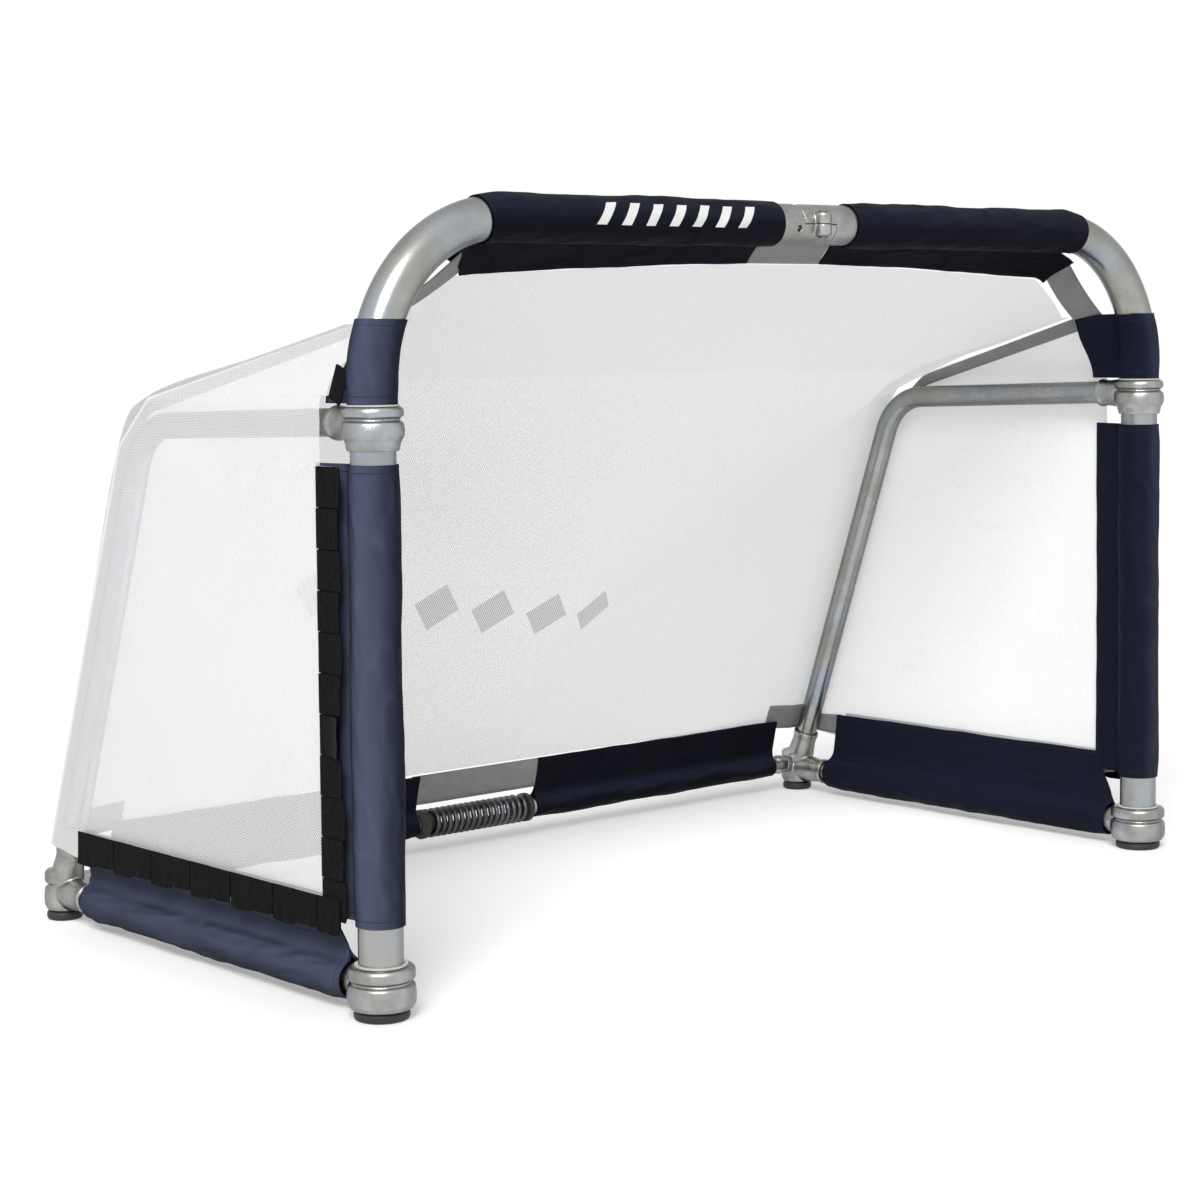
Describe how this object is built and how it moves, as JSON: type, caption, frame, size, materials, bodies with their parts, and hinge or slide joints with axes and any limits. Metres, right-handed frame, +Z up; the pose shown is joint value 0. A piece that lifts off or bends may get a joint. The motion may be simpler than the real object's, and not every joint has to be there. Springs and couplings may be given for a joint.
{
  "type": "folding soccer goal",
  "caption": "Folding practice goal with a bent-tube mouth frame, turning side frames, fabric covers, fine mesh net and a spring-jointed back bar.",
  "frame": {"origin": "on the ground, at the middle of the goal's outline seen from above", "axes": "+X along the crossbar to the right as seen from the mouth, +Y from the mouth to the back bar, +Z up"},
  "size_m": [1.522, 0.7932, 0.9656],
  "materials": {
    "tube": "drawn aluminium tube, satin silver",
    "casting": "cast aluminium, fine matt silver",
    "bush": "natural nylon",
    "foot_rubber": "black moulded rubber",
    "plug": "black moulded nylon",
    "pin": "zinc-plated steel pin",
    "spring": "plated spring wire",
    "cover": "navy coated woven polyester",
    "strip": "black hook-and-loop strip",
    "webbing": "grey polyester webbing",
    "net": "fine white polyester mesh"
  },
  "bodies": {
    "left_side": {"left_upper_collar": "casting", "left_foot_collar": "casting", "left_upper_bush": "bush", "left_lower_bush": "bush", "left_post_foot": "foot_rubber", "left_rear_foot": "foot_rubber", "left_side_tube": "tube", "left_ground_tube": "tube", "left_rear_corner": "casting", "left_rear_pin": "pin", "left_lower_post_cover": "cover", "left_upper_post_cover": "cover", "left_ground_cover": "cover", "left_side_net": "net", "left_seam_tape": "webbing", "left_post_strip": "strip", "left_ground_strip": "strip", "back_net": "net", "top_tape": "webbing"},
    "left_front": {"left_post_tube": "tube", "left_crossbar_cover": "cover", "left_hinge_casting": "casting", "crossbar_hinge_pin": "pin"},
    "right_front": {"right_post_tube": "tube", "right_crossbar_cover": "cover", "right_hinge_casting": "casting"},
    "right_side": {"right_upper_collar": "casting", "right_foot_collar": "casting", "right_upper_bush": "bush", "right_lower_bush": "bush", "right_post_foot": "foot_rubber", "right_rear_foot": "foot_rubber", "right_side_tube": "tube", "right_ground_tube": "tube", "right_rear_corner": "casting", "right_rear_pin": "pin", "right_lower_post_cover": "cover", "right_upper_post_cover": "cover", "right_ground_cover": "cover", "right_side_net": "net", "right_seam_tape": "webbing", "right_post_strip": "strip", "right_ground_strip": "strip"},
    "left_back": {"left_back_eye": "casting", "left_back_tube": "tube", "left_back_cover": "cover", "left_spring_plug": "plug", "back_spring": "spring", "bottom_tape": "webbing"},
    "right_back": {"right_back_eye": "casting", "right_back_tube": "tube", "right_back_cover": "cover", "right_spring_plug": "plug"}
  },
  "joints": [
    {"name": "left_post_turn", "type": "hinge", "parent": "left_side", "child": "left_front", "pos_m": [-0.72, -0.35565, 0.5], "axis": [0, 0, 1], "range_deg": [0, 85.6]},
    {"name": "crossbar_fold", "type": "hinge", "parent": "left_front", "child": "right_front", "pos_m": [0, -0.38465, 0.935], "axis": [0, 0, -1], "range_deg": [0, 171.2], "deforming": ["back_net", "top_tape"]},
    {"name": "right_post_turn", "type": "hinge", "parent": "right_front", "child": "right_side", "pos_m": [0.72, -0.35565, 0.5], "axis": [0, 0, 1], "range_deg": [0, 85.6]},
    {"name": "left_rear_turn", "type": "hinge", "parent": "left_side", "child": "left_back", "pos_m": [-0.672, 0.36935, 0.046], "axis": [0, 0, -1], "range_deg": [0, 89.67]},
    {"name": "back_spring_bend", "type": "hinge", "parent": "left_back", "child": "right_back", "pos_m": [0, 0.40265, 0.046], "axis": [0, 0, 1], "range_deg": [0, 179.35], "deforming": ["back_spring", "bottom_tape"]}
  ],
  "couplings": [
    {"joint": "left_post_turn", "follows": "crossbar_fold", "ratio": 0.5},
    {"joint": "right_post_turn", "follows": "crossbar_fold", "ratio": 0.5},
    {"joint": "left_rear_turn", "follows": "crossbar_fold", "ratio": 0.5238},
    {"joint": "back_spring_bend", "follows": "crossbar_fold", "ratio": 1.0476}
  ]
}
